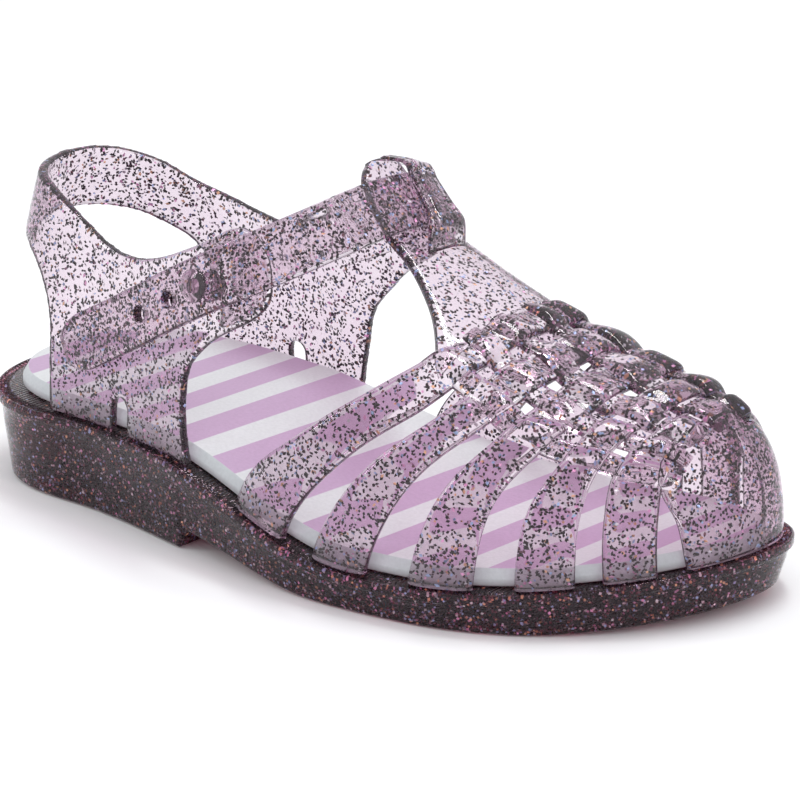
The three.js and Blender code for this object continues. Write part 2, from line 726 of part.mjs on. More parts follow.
function insole() {
  const inset = footInset + wall + 2 * clearance;
  const top = (s) => rimZ(s) + clearance + insoleThickness;
  return stack([
    outlineRing(inset, (s) => rimZ(s) + clearance),
    outlineRing(inset, (s) => top(s) - insoleBevel),
    outlineRing(inset + insoleBevel, top),
  ]);
}

function toePiece() {
  const strips = [0, 1, 2, 3, 4];
  return joined([toeCap(), bar(), keeper(), ...strips.map(crossStrap), ...strips.map(strand)]);
}

function heelPiece() {
  const whole = quarters().add(ankleStrap());
  const holes = Array.from({ length: studHoles }, (_, i) => studHole(i));
  return holes.reduce((sum, hole) => sum.subtract(hole), whole);
}

function part(name, manifold, color, roughness) {
  const material = new THREE.MeshStandardMaterial({ color, roughness, metalness: 0 });
  const mesh = new THREE.Mesh(geometryOf(manifold), material);
  mesh.name = name;
  return mesh;
}

const sandal = new THREE.Group();
sandal.add(
  part("outsole", outsole(), 0x5b4350, 0.25),
  part("insole", insole(), 0xe9dfee, 0.8),
  part("toe_piece", toePiece(), 0xcdb6cd, 0.2),
  part("heel_piece", heelPiece(), 0xcdb6cd, 0.2),
  part("stud", stud(), 0xb79db8, 0.2),
);

export default sandal;
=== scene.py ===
import math

import bmesh
import bpy
import numpy as np
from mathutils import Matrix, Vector
from mathutils.bvhtree import BVHTree


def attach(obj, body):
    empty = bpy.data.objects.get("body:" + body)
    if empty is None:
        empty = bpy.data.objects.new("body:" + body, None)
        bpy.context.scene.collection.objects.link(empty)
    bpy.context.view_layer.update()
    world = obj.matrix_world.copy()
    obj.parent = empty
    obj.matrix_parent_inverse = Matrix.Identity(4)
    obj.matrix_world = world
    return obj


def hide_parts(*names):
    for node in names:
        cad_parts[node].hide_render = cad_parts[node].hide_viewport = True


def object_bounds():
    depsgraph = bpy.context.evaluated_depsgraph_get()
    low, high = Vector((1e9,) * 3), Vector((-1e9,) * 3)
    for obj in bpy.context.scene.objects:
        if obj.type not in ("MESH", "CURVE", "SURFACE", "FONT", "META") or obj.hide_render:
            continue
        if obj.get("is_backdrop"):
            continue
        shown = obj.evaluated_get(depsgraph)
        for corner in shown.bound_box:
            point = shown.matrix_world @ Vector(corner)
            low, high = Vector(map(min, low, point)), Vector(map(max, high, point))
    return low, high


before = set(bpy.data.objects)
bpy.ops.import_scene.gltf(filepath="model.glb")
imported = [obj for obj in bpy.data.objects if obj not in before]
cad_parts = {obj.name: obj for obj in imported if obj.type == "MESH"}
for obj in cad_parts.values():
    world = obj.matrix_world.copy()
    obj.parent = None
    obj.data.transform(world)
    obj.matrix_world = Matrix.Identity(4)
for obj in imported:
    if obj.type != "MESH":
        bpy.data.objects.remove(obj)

scene = bpy.context.scene
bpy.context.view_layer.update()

# Studio: white paper in a pale, even room, with a long softbox above and a narrow one at each side
# for the highlights. The camera stands in front of the outer side, a little above the shoe.
camera_turn = math.radians(39.4)
camera_rise = math.radians(18.8)
camera_distance = 0.9
camera_lens = 204.3
camera_aim = Vector((0.00125, 0.0098, 0.0249))
room_color = (0.97, 0.98, 1.0)
room_strength = 0.86
paper_color = (0.93, 0.93, 0.94)
paper_reach = 3
paper_drop = 0.0002

back = Vector((
    math.sin(camera_turn) * math.cos(camera_rise),
    -math.cos(camera_turn) * math.cos(camera_rise),
    math.sin(camera_rise),
))
camera_data = bpy.data.cameras.new("camera")
camera_data.lens = camera_lens
camera_data.sensor_width = 36
camera_data.clip_start = 0.01
camera = bpy.data.objects.new("camera", camera_data)
camera.location = camera_aim + back * camera_distance
camera.rotation_euler = back.to_track_quat("Z", "Y").to_euler()
scene.collection.objects.link(camera)
scene.camera = camera

world = bpy.data.worlds.new("studio")
world.use_nodes = True
world.node_tree.nodes["Background"].inputs["Color"].default_value = (*room_color, 1)
world.node_tree.nodes["Background"].inputs["Strength"].default_value = room_strength
scene.world = world
scene.view_settings.view_transform = "Standard"


def softbox(name, place, aim, width, height, power):
    light = bpy.data.lights.new(name, "AREA")
    light.shape = "RECTANGLE"
    light.size = width
    light.size_y = height
    light.energy = power
    lamp = bpy.data.objects.new(name, light)
    lamp.location = place
    lamp.rotation_euler = (Vector(place) - Vector(aim)).to_track_quat("Z", "Y").to_euler()
    scene.collection.objects.link(lamp)


softbox("top_softbox", (0.1, 0.15, 0.75), (0, 0, 0.02), 0.45, 0.1, 2.2)
softbox("left_softbox", (-0.5, -0.5, 0.45), (0, 0, 0.03), 0.08, 0.4, 0.9)
softbox("right_softbox", (0.75, -0.2, 0.5), (0.03, 0, 0.03), 0.08, 0.4, 0.9)

corners = [(-paper_reach, -paper_reach, 0), (paper_reach, -paper_reach, 0)]
corners += [(paper_reach, paper_reach, 0), (-paper_reach, paper_reach, 0)]
floor_mesh = bpy.data.meshes.new("floor")
floor_mesh.from_pydata(corners, [], [(0, 1, 2, 3)])
floor = bpy.data.objects.new("floor", floor_mesh)
floor.location = (0, 0, -paper_drop)
scene.collection.objects.link(floor)
paper = bpy.data.materials.new("studio_paper")
paper.use_nodes = True
paper.node_tree.nodes["Principled BSDF"].inputs["Base Color"].default_value = (*paper_color, 1)
paper.node_tree.nodes["Principled BSDF"].inputs["Roughness"].default_value = 0.75
floor_mesh.materials.append(paper)
floor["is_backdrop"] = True

# Outsole: one thick moulding of clear brown-purple soft PVC, with a heel block, a shallow arch,
# a raised toe, grooves underneath, and a finely ribbed rim that the upper stands on.
sole_length = 175.5
ball_width = 77
heel_height = 18.5
fore_height = 8
toe_rise = 4.3
toe_spring = 3.2
arch_lift = 4
side_draft = 2.3
rim_height = 2.2
rim_step = 0.7
rim_foot = 0.3
lower_round = 0.8
round_turns = 5
rim_round = 0.4
rib_pitch = 1.05
rib_depth = 0.5
rib_band = 2.4
tread_depth = 1.2
tread_width = 2.4
tread_pitch = 9
tread_inset = 10
tread_runs = [(0.06, 0.34), (0.63, 0.86)]
edge_steps = 1100

# Rows of inset and depth below the rim's foot, where the side steps out to the rim, and rows of
# inset and rib strength over the rim's top.
step_rows = [(rim_step + 0.15, 0.25), (rim_step, 0.0), (rim_step - 0.35, -0.1)]
step_rows += [(0.1, -0.25), (0, -0.5)]
rib_rows = [(0.55, 0.6), (0.8, 1), (rib_band - 0.4, 1), (rib_band, 0)]

# Half widths from the middle line, as shares of the ball width, evenly spaced from heel to toe.
half_outer = [0.384, 0.352, 0.433, 0.516, 0.521, 0.482]
half_inner = [0.344, 0.401, 0.374, 0.424, 0.426, 0.406]
heel_round = {"length": 0.165, "square": 2.13}
toe_round = {"length": 0.273, "square": 2.04}
toe_swing = {"from": 0.4, "by": 0.225}
drop = (0.33, 0.66)
rise = 0.7
under = {"breast": 0.376, "arch": 0.39, "ball": 0.6, "toe": 0.83, "curve": 1.6}


def along(values, share):
    """Smooth curve through evenly spaced values, read at shares from 0 to 1."""
    v = np.asarray(values, float)
    slope = np.gradient(v)
    last = len(v) - 1
    at = np.clip(share, 0, 1) * last
    i = np.minimum(np.floor(at).astype(int), last - 1)
    f = at - i
    f2 = f * f
    f3 = f2 * f
    start = (2 * f3 - 3 * f2 + 1) * v[i] + (f3 - 2 * f2 + f) * slope[i]
    return start + (3 * f2 - 2 * f3) * v[i + 1] + (f3 - f2) * slope[i + 1]


def blend(share, start, end):
    f = np.clip((share - start) / (end - start), 0, 1)
    return f * f * (3 - 2 * f)


def end_shape(share):
    h = np.clip(1 - share / heel_round["length"], 0, 1)
    t = np.clip(1 - (1 - share) / toe_round["length"], 0, 1)
    heel = np.power(1 - np.power(h, heel_round["square"]), 1 / heel_round["square"])
    toe = np.power(1 - np.power(t, toe_round["square"]), 1 / toe_round["square"])
    return np.minimum(heel, toe)


def rim_z(share):
    f = np.maximum(0, (share - rise) / (1 - rise))
    return heel_height - (heel_height - fore_height) * blend(share, *drop) + toe_rise * f * f


def under_z(share):
    up = blend(share, under["breast"], under["arch"])
    down = 1 - blend(share, under["arch"], under["ball"])
    f = np.maximum(0, (share - under["toe"]) / (1 - under["toe"]))
    return arch_lift * up * down + toe_spring * np.power(f, under["curve"])


def edge(share, side, inset):
    """Plan point of the outline drawn in by an inset: x from the heel, y, and its own share."""
    x = inset + np.asarray(share, float) * (sole_length - 2 * inset)
    s = x / sole_length
    toeward = np.maximum(0, (s - toe_swing["from"]) / (1 - toe_swing["from"]))
    swing = toe_swing["by"] * ball_width * toeward**2
    half = np.where(side < 0, along(half_outer, s), along(half_inner, s)) * ball_width - inset
    return x, swing + side * half * end_shape(np.asarray(share, float)), s


def stations(count):
    return 0.5 - 0.5 * np.cos(np.pi * np.arange(count + 1) / count)


middle_x = sole_length / 2
rim_y = np.concatenate([edge(stations(400), -1, 0)[1], edge(stations(400), 1, 0)[1]])
middle_y = (rim_y.min() + rim_y.max()) / 2


def at(x, y, z):
    """Points in the shoe's frame, in millimetres."""
    return np.stack(np.broadcast_arrays(x - middle_x, y - middle_y, z), axis=-1)


def new_object(name, points, faces):
    mesh = bpy.data.meshes.new(name)
    mesh.from_pydata((np.asarray(points) * 0.001).tolist(), [], faces)
    mesh.update()
    made = bpy.data.objects.new(name, mesh)
    scene.collection.objects.link(made)
    return made


def grid_faces(rows, columns, closed, first=0):
    """Quads between rows of points. closed joins each row's last point to its first."""
    faces = []
    for i in range(rows - 1):
        for j in range(columns if closed else columns - 1):
            k = (j + 1) % columns
            a = first + i * columns
            faces.append((a + j, a + k, a + columns + k, a + columns + j))
    return faces


def face_out(made):
    """Turns the mesh's faces outward and shades them smooth."""
    work = bmesh.new()
    work.from_mesh(made.data)
    bmesh.ops.remove_doubles(work, verts=work.verts, dist=1e-6)
    bmesh.ops.recalc_face_normals(work, faces=work.faces)
    work.to_mesh(made.data)
    work.free()
    made.data.shade_smooth()


def apply_modifiers(made):
    bpy.context.view_layer.update()
    graph = bpy.context.evaluated_depsgraph_get()
    finished = bpy.data.meshes.new_from_object(made.evaluated_get(graph))
    made.modifiers.clear()
    made.data = finished
    return made


def cut(made, tool, operation="DIFFERENCE"):
    step = made.modifiers.new("cut", "BOOLEAN")
    step.operation = operation
    step.object = tool
    step.solver = "MANIFOLD"
    apply_modifiers(made)
    bpy.data.objects.remove(tool)


def stacked(name, shares, rings):
    """Closed solid from outline rings, each from heel to toe outside and back inside."""
    n = len(shares) - 1
    count = 2 * n
    faces = grid_faces(len(rings), count, True)
    top = (len(rings) - 1) * count
    for j in range(n):
        other = [(count - j) % count, (count - j - 1) % count]
        faces.append((j, j + 1, other[1], other[0]))
        faces.append((top + j, top + j + 1, top + other[1], top + other[0]))
    made = new_object(name, np.concatenate(rings), faces)
    face_out(made)
    return made


def even_shares(count):
    """Shares from heel to toe at even steps along the outer edge."""
    fine = stations(4000)
    x, y, _ = edge(fine, -1, 0)
    run = np.concatenate([[0], np.cumsum(np.hypot(np.diff(x), np.diff(y)))])
    return np.interp(np.linspace(0, run[-1], count + 1), run, fine)


def ring(shares, inset, height):
    """One closed outline ring. height takes each point's share and its place in millimetres."""
    sides = []
    for side in (-1, 1):
        x, y, s = edge(shares, side, inset)
        run = np.concatenate([[0], np.cumsum(np.hypot(np.diff(x), np.diff(y)))])
        sides.append(at(x, y, height(s, run)))
    return np.concatenate([sides[0], sides[1][1:-1][::-1]])


def side_height(part):
    """Height of the side wall at a part of its way up, from the rounded foot to the rim's foot."""
    def height(s, run):
        low = under_z(s) + lower_round
        return low * (1 - part) + (rim_z(s) - rim_height - rim_foot) * part
    return height


def ribbed(strength):
    """Height of the rim's top with its fine ribs."""
    def height(s, run):
        rib = 0.5 + 0.5 * np.cos(2 * np.pi * run / rib_pitch)
        return rim_z(s) - rib_depth * strength * rib
    return height


sole_shares = even_shares(edge_steps)
sole_rings = []
for turn in np.linspace(0, 90, round_turns):
    inset = side_draft + lower_round * (1 - math.sin(math.radians(turn)))
    lift = lower_round * (1 - math.cos(math.radians(turn)))
    sole_rings.append(ring(sole_shares, inset, lambda s, run, lift=lift: under_z(s) + lift))
for share in (0.25, 0.5, 0.75):
    inset = side_draft + (rim_step - side_draft) * share
    sole_rings.append(ring(sole_shares, inset, side_height(share)))
for inset, below in step_rows:
    sole_rings.append(ring(
        sole_shares, inset, lambda s, run, below=below: rim_z(s) - rim_height - below,
    ))
for turn in np.linspace(0, 90, round_turns):
    inset = rim_round * (1 - math.cos(math.radians(turn)))
    drop_by = rim_round * (1 - math.sin(math.radians(turn)))
    sole_rings.append(ring(sole_shares, inset, lambda s, run, drop_by=drop_by: rim_z(s) - drop_by))
for inset, strength in rib_rows:
    sole_rings.append(ring(sole_shares, inset, ribbed(strength)))
outsole = stacked("outsole_moulding", sole_shares, sole_rings)

box_faces = [(0, 1, 3, 2), (4, 6, 7, 5), (0, 4, 5, 1), (2, 3, 7, 6), (0, 2, 6, 4), (1, 5, 7, 3)]
groove_points = []
groove_faces = []
for start, end in tread_runs:
    for i in range(int((end - start) * sole_length / tread_pitch) + 1):
        share = start + i * tread_pitch / sole_length
        x, low_y, _ = edge(share, -1, tread_inset)
        _, high_y, _ = edge(share, 1, tread_inset)
        x = share * sole_length
        z = float(under_z(share))
        first = len(groove_points)
        for dx in (-tread_width / 2, tread_width / 2):
            for y in (low_y, high_y):
                for dz in (-tread_depth, tread_depth):
                    groove_points.append(at(x + dx, y, z + dz))
        groove_faces += [tuple(first + k for k in quad) for quad in box_faces]
grooves = new_object("grooves", groove_points, groove_faces)
cut(outsole, grooves)
outsole.data.shade_smooth()


pvc_bend = 1.42
wave_detail = 2
wave_strength = 0.6


def pvc(name, tint, body, absorb, roughness, milky, wave_size, wave_depth):
    """Clear soft PVC: tinted glass that takes light by thickness, with a faint moulded waviness.
    tint is the light that its shadow lets through, and absorb the light that it takes per metre
    of thickness, in red, green and blue."""
    made = bpy.data.materials.new(name)
    made.use_nodes = True
    nodes = made.node_tree.nodes
    links = made.node_tree.links
    surface = nodes["Principled BSDF"]
    surface.inputs["Base Color"].default_value = (*body, 1)
    surface.inputs["Roughness"].default_value = roughness
    surface.inputs["IOR"].default_value = pvc_bend
    surface.inputs["Transmission Weight"].default_value = 1 - milky
    place = nodes.new("ShaderNodeTexCoord")
    wave = nodes.new("ShaderNodeTexNoise")
    wave.inputs["Scale"].default_value = 1 / wave_size
    wave.inputs["Detail"].default_value = wave_detail
    bump = nodes.new("ShaderNodeBump")
    bump.inputs["Distance"].default_value = wave_depth
    bump.inputs["Strength"].default_value = wave_strength
    links.new(place.outputs["Object"], wave.inputs["Vector"])
    links.new(wave.outputs["Fac"], bump.inputs["Height"])
    links.new(bump.outputs["Normal"], surface.inputs["Normal"])
    path = nodes.new("ShaderNodeLightPath")
    through = nodes.new("ShaderNodeBsdfTransparent")
    through.inputs["Color"].default_value = (*tint, 1)
    mix = nodes.new("ShaderNodeMixShader")
    links.new(path.outputs["Is Shadow Ray"], mix.inputs["Fac"])
    links.new(surface.outputs["BSDF"], mix.inputs[1])
    links.new(through.outputs["BSDF"], mix.inputs[2])
    inside = nodes.new("ShaderNodeVolumeAbsorption")
    inside.inputs["Color"].default_value = (*[1 - a / max(absorb) for a in absorb], 1)
    inside.inputs["Density"].default_value = max(absorb)
    output = nodes["Material Output"]
    links.new(mix.outputs["Shader"], output.inputs["Surface"])
    links.new(inside.outputs["Volume"], output.inputs["Volume"])
    return made


sole_sheen = (0.62, 0.46, 0.54)
sole_pvc = pvc(
    "brown_purple_pvc", tint=(0.44, 0.4, 0.42), body=(0.94, 0.78, 0.84), absorb=(105, 280, 215),
    roughness=0.06, milky=0.02, wave_size=0.006, wave_depth=0.0001,
)
sole_pvc.node_tree.nodes["Principled BSDF"].inputs["Specular Tint"].default_value = (*sole_sheen, 1)
outsole.data.materials.clear()
outsole.data.materials.append(sole_pvc)
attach(outsole, "root")
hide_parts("outsole")

# Glitter in the outsole: small cut foil flakes, stirred into the plastic before moulding. Nearly
# half look dark or brown, and the rest flash blue, silver, copper or pink.
sole_flakes = 20000
sole_flake_size = (0.22, 0.36)
sole_flake_depth = (0.1, 1.4)
sole_mix = (0.08, 0.34, 0.2, 0.11, 0.1, 0.17)
foil_half_thickness = 0.00002
foil_grain = 700
foil_dark, foil_bright = 0.6, 1.25

# Share of the light that a flake's shadow lets through, so that flakes only dim what lies behind.
foil_passing = 0.7

# Metres that a flake's corners and middle stay under the skin. Skin with more than narrow_edge of
# plastic straight behind it is a piece's narrow edge.
corner_cover = 0.00004
middle_cover = 0.00008
narrow_edge = 0.004
past_skin = 0.00001


def foil(name, color, metallic, roughness, sheen=0.5):
    made = bpy.data.materials.new(name)
    made.use_nodes = True
    nodes = made.node_tree.nodes
    surface = nodes["Principled BSDF"]
    surface.inputs["Metallic"].default_value = metallic
    surface.inputs["Specular IOR Level"].default_value = sheen
    surface.inputs["Roughness"].default_value = roughness
    place = nodes.new("ShaderNodeTexCoord")
    shift = nodes.new("ShaderNodeTexNoise")
    shift.inputs["Scale"].default_value = foil_grain
    ramp = nodes.new("ShaderNodeMixRGB")
    ramp.inputs["Color1"].default_value = (*[c * foil_dark for c in color], 1)
    ramp.inputs["Color2"].default_value = (*[min(1, c * foil_bright) for c in color], 1)
    made.node_tree.links.new(place.outputs["Object"], shift.inputs["Vector"])
    made.node_tree.links.new(shift.outputs["Fac"], ramp.inputs["Fac"])
    made.node_tree.links.new(ramp.outputs["Color"], surface.inputs["Base Color"])
    path = nodes.new("ShaderNodeLightPath")
    passing = nodes.new("ShaderNodeMath")
    passing.operation = "MULTIPLY"
    passing.inputs[1].default_value = foil_passing
    through = nodes.new("ShaderNodeBsdfTransparent")
    mix = nodes.new("ShaderNodeMixShader")
    made.node_tree.links.new(path.outputs["Is Shadow Ray"], passing.inputs[0])
    made.node_tree.links.new(passing.outputs[0], mix.inputs["Fac"])
    made.node_tree.links.new(surface.outputs["BSDF"], mix.inputs[1])
    made.node_tree.links.new(through.outputs["BSDF"], mix.inputs[2])
    made.node_tree.links.new(mix.outputs["Shader"], nodes["Material Output"].inputs["Surface"])
    return made


foils = [
    foil("dark_foil", (0.022, 0.008, 0.013), 0.0, 0.6, 0.0),
    foil("brown_foil", (0.17, 0.055, 0.08), 0.0, 0.5, 0.2),
    foil("blue_foil", (0.42, 0.58, 1.0), 0.4, 0.3),
    foil("copper_foil", (0.95, 0.5, 0.28), 0.4, 0.3),
    foil("pink_foil", (0.88, 0.42, 0.68), 0.4, 0.3),
    foil("silver_foil", (0.86, 0.88, 0.97), 0.3, 0.25),
]


def glitter(name, carrier, count, size, depth, mix, tilt, stretch, seed, sparse, keep=None):
    """Flat flakes under the carrier's skin, each a closed kite of four faces. Sizes and depths are
    in millimetres, tilt in degrees. sparse is the share of them kept on its narrow edges."""
    draw = np.random.default_rng(seed)
    mesh = carrier.data
    mesh.calc_loop_triangles()
    corners = np.empty(len(mesh.loop_triangles) * 3, int)
    mesh.loop_triangles.foreach_get("vertices", corners)
    points = np.empty(len(mesh.vertices) * 3)
    mesh.vertices.foreach_get("co", points)
    tri = points.reshape(-1, 3)[corners].reshape(-1, 3, 3)
    normal = np.cross(tri[:, 1] - tri[:, 0], tri[:, 2] - tri[:, 0])
    area = np.linalg.norm(normal, axis=1)
    normal /= area[:, None] + 1e-18
    if keep is not None:
        area = area * keep(normal)
    pick = draw.choice(len(tri), count, p=area / area.sum())
    u, v = draw.random((2, count))
    fold = u + v > 1
    u[fold], v[fold] = 1 - u[fold], 1 - v[fold]
    a, b, c = tri[pick].transpose(1, 0, 2)
    n = normal[pick]
    on_skin = a + (b - a) * u[:, None] + (c - a) * v[:, None]
    skin = n
    deep = draw.uniform(*depth, count) * 0.001
    n = n + draw.normal(0, 1, (count, 3)) * math.tan(math.radians(tilt))
    n /= np.linalg.norm(n, axis=1)[:, None]
    helper = draw.normal(0, 1, (count, 3))
    one = np.cross(n, helper)
    one /= np.linalg.norm(one, axis=1)[:, None]
    two = np.cross(n, one)
    radius = draw.uniform(*size, count)[:, None] * 0.001
    long = draw.uniform(1, stretch, count)[:, None]
    thick = n * foil_half_thickness
    one = one * radius * long
    two = two * radius
    reach = np.maximum(np.abs((one * skin).sum(1)), np.abs((two * skin).sum(1))) + middle_cover
    centre = on_skin - skin * np.maximum(deep, reach)[:, None]
    ends = [centre + one + thick, centre - one + thick]
    ends += [centre + two - thick, centre - two - thick]
    kite = np.stack(ends, 1)
    tree = BVHTree.FromPolygons(points.reshape(-1, 3).tolist(), corners.reshape(-1, 3).tolist())

    def buried(corner):
        near, facing_out, _, far = tree.find_nearest(corner)
        return far > corner_cover and (Vector(corner) - near).dot(facing_out) < 0

    def on_face(start, inward):
        through = tree.ray_cast(start + inward * past_skin, inward)[3]
        return through is None or through < narrow_edge or sparse > 1

    buried_ones = [all(buried(corner) for corner in four) for four in kite.tolist()]
    spare = draw.random(count) < sparse
    faced = [on_face(Vector(p), -Vector(q)) for p, q in zip(on_skin.tolist(), skin.tolist())]
    kite = kite[np.array(buried_ones) & (np.array(faced) | spare)]
    count = len(kite)
    faces = np.array([(0, 2, 1), (0, 1, 3), (0, 3, 2), (1, 2, 3)])
    all_faces = (np.arange(count)[:, None, None] * 4 + faces[None]).reshape(-1, 3)
    made = bpy.data.meshes.new(name)
    made.from_pydata(kite.reshape(-1, 3).tolist(), [], all_faces.tolist())
    color = np.repeat(draw.choice(len(foils), count, p=np.array(mix) / sum(mix)), 4)
    for one_foil in foils:
        made.materials.append(one_foil)
    made.polygons.foreach_set("material_index", color)
    made.update()
    flakes = bpy.data.objects.new(name, made)
    scene.collection.objects.link(flakes)
    return flakes


def near_side(normal):
    """More flakes behind the upright sides than behind the top or the underside."""
    return np.where(np.abs(normal[:, 2]) < 0.8, 1.0, np.where(normal[:, 2] > 0, 0.25, 0.35))


sole_glitter = glitter(
    "outsole_glitter", outsole, sole_flakes, sole_flake_size, sole_flake_depth,
    mix=sole_mix, tilt=28, stretch=1.3, seed=3, sparse=2, keep=near_side,
)
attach(sole_glitter, "root")

# Insole: a footbed cut from white closed-cell foam, its top printed with lilac stripes and its
# edge cut at a slant. It lies loose on the outsole, inside the upper.
foot_inset = 1.8
clearance = 0.3
wall = 2.3
insole_thickness = 3.4
insole_bevel = 1
insole_foot = 0.3
bevel_rows = [(0, 2), (0.06, 1.85), (0.9, 0.18), (1, 0.04), (1.2, 0)]
stripe_pitch = 13.15
stripe_width = 7
stripe_slant = 0.05
stripe_start = -0.6
stripe_blur = 0.015
stripe_shift = 100
top_facing = 0.9
foam_white = (0.74, 0.76, 0.77)
foam_lilac = (0.57, 0.4, 0.58)
# The darker grey for the insole's sides is painted shade: they face away from the light above.
foam_side_shade = (0.58, 0.61, 0.63)
foam_grain = 1400
pore_depth = 0.00012

insole_shares = stations(260)
insole_inset = foot_inset + wall + 2 * clearance
insole_rings = [
    ring(insole_shares, insole_inset + insole_foot, lambda s, run: rim_z(s) + clearance),
    ring(insole_shares, insole_inset, lambda s, run: rim_z(s) + clearance + insole_foot),
]
for inward, below in bevel_rows:
    insole_rings.append(ring(
        insole_shares, insole_inset + insole_bevel * inward,
        lambda s, run, below=below: rim_z(s) + clearance + insole_thickness - insole_bevel * below,
    ))
insole = stacked("insole_footbed", insole_shares, insole_rings)

foam = bpy.data.materials.new("striped_foam")
foam.use_nodes = True
nodes = foam.node_tree.nodes
links = foam.node_tree.links
surface = nodes["Principled BSDF"]
surface.inputs["Roughness"].default_value = 0.82
surface.inputs["Sheen Weight"].default_value = 0.15
place = nodes.new("ShaderNodeTexCoord")
axes = nodes.new("ShaderNodeSeparateXYZ")
links.new(place.outputs["Object"], axes.inputs["Vector"])
slant = nodes.new("ShaderNodeMath")
slant.operation = "MULTIPLY_ADD"
slant.inputs[1].default_value = -stripe_slant
links.new(axes.outputs["Y"], slant.inputs[0])
links.new(axes.outputs["X"], slant.inputs[2])
phase = nodes.new("ShaderNodeMath")
phase.operation = "MULTIPLY_ADD"
phase.inputs[1].default_value = 1000 / stripe_pitch
phase.inputs[2].default_value = stripe_shift + stripe_start / stripe_pitch
links.new(slant.outputs[0], phase.inputs[0])
turned = nodes.new("ShaderNodeMath")
turned.operation = "FRACT"
links.new(phase.outputs[0], turned.inputs[0])
stripe = nodes.new("ShaderNodeMapRange")
stripe.interpolation_type = "SMOOTHSTEP"
stripe.inputs["From Min"].default_value = stripe_width / stripe_pitch - stripe_blur
stripe.inputs["From Max"].default_value = stripe_width / stripe_pitch + stripe_blur
stripe.inputs["To Min"].default_value = 1
stripe.inputs["To Max"].default_value = 0
links.new(turned.outputs[0], stripe.inputs["Value"])
facing = nodes.new("ShaderNodeNewGeometry")
up = nodes.new("ShaderNodeSeparateXYZ")
links.new(facing.outputs["Normal"], up.inputs["Vector"])
top_only = nodes.new("ShaderNodeMath")
top_only.operation = "GREATER_THAN"
top_only.inputs[1].default_value = top_facing
links.new(up.outputs["Z"], top_only.inputs[0])
printed = nodes.new("ShaderNodeMath")
printed.operation = "MULTIPLY"
links.new(stripe.outputs["Result"], printed.inputs[0])
links.new(top_only.outputs[0], printed.inputs[1])
grain = nodes.new("ShaderNodeTexNoise")
grain.inputs["Scale"].default_value = foam_grain
grain.inputs["Detail"].default_value = 4
links.new(place.outputs["Object"], grain.inputs["Vector"])
tone = nodes.new("ShaderNodeMixRGB")
tone.inputs["Color1"].default_value = (*foam_white, 1)
tone.inputs["Color2"].default_value = (*foam_lilac, 1)
links.new(printed.outputs[0], tone.inputs["Fac"])
# Faces that don't point up take the darker grey: painted shade on the insole's sides.
side_shade_mix = nodes.new("ShaderNodeMixRGB")
side_shade_mix.inputs["Color1"].default_value = (*foam_side_shade, 1)
links.new(top_only.outputs[0], side_shade_mix.inputs["Fac"])
links.new(tone.outputs["Color"], side_shade_mix.inputs["Color2"])
speck = nodes.new("ShaderNodeMixRGB")
speck.blend_type = "MULTIPLY"
speck.inputs["Fac"].default_value = 0.2
links.new(side_shade_mix.outputs["Color"], speck.inputs["Color1"])
links.new(grain.outputs["Fac"], speck.inputs["Color2"])
links.new(speck.outputs["Color"], surface.inputs["Base Color"])
pores = nodes.new("ShaderNodeBump")
pores.inputs["Distance"].default_value = pore_depth
pores.inputs["Strength"].default_value = 0.5
links.new(grain.outputs["Fac"], pores.inputs["Height"])
links.new(pores.outputs["Normal"], surface.inputs["Normal"])
insole.data.materials.clear()
insole.data.materials.append(foam)
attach(insole, "root")
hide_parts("insole")

# Toe piece: the front half of the upper, moulded in one: a toe cap, five cross straps, five
# strands woven over and under them, and a T-bar whose end is folded into a keeper.
instep_height = 75
cap_thickness = 2.3
cap_round = 0.7
weave_rise = 1.1
strand_wall = 1.2
thin_outer = (40, 62)
thin_inner = (45, 62)
bar_thickness = 2.2
crown = 0.4
cross_sink = 0.3
strand_gap = 2.4
crest_from = 0.45
crest = [0.99, 0.83, 0.72, 0.676, 0.628, 0.571, 0.528, 0.482, 0.448, 0.434, 0.437, 0.44]
toe_front = {"length": 0.21, "square": 2.5}
crest_swing = 0.16
arch_square = 2.5
small_share = 0.004


def vamp(share, angle, out):
    """Point of the toe piece: its share of the length, its degrees round from the outer foot line,
    and its height off the vamp."""
    ax, ay, s = edge(share, -1, foot_inset - out)
    _, by, _ = edge(share, 1, foot_inset - out)
    half = (by - ay) / 2
    top = (ay + by) / 2 + crest_swing * half
    c = np.cos(np.radians(angle))
    up = np.maximum(0, np.sin(np.radians(angle)))
    reach = np.where(c > 0, top - ay, by - top)
    y = top - np.sign(c) * reach * np.abs(c) ** (2 / arch_square)
    d = np.minimum(1, (1 - share) / toe_front["length"])
    front = (1 - np.clip(1 - d, 0, 1) ** toe_front["square"]) ** (1 / toe_front["square"])
    high = along(crest, (share - crest_from) / (1 - crest_from)) * instep_height
    return at(ax, y, rim_z(s) + clearance + (high + out) * front * up ** (2 / arch_square))


def instep(share, angle, out):
    """Point over the instep: as above, but with its height square to the slope of the crest."""
    slope = vamp(share + small_share, 90, 0.0) - vamp(share - small_share, 90, 0.0)
    square = np.stack([-slope[..., 2], np.zeros_like(slope[..., 0]), slope[..., 0]], -1)
    square /= np.linalg.norm(square, axis=-1, keepdims=True)
    return vamp(share, angle, 0.0) + square * np.asarray(out)[..., None]


# Rear and front edges of the five cross straps, and the edge of the cap, as shares of the length,
# each from the foot to the crest. Both sides are alike.
cross_rear = [
    [0.48, 0.583, 0.656, 0.693, 0.7], [0.602, 0.668, 0.727, 0.751, 0.754],
    [0.728, 0.757, 0.792, 0.81, 0.812], [0.841, 0.846, 0.861, 0.869, 0.873],
    [0.916, 0.912, 0.908, 0.917, 0.921],
]
cross_front = [
    [0.558, 0.642, 0.707, 0.735, 0.738], [0.675, 0.722, 0.77, 0.796, 0.798],
    [0.801, 0.813, 0.838, 0.856, 0.859], [0.893, 0.892, 0.895, 0.905, 0.909],
    [0.953, 0.95, 0.946, 0.95, 0.952],
]
cap_edge = [0.973, 0.964, 0.941, 0.938, 0.938]

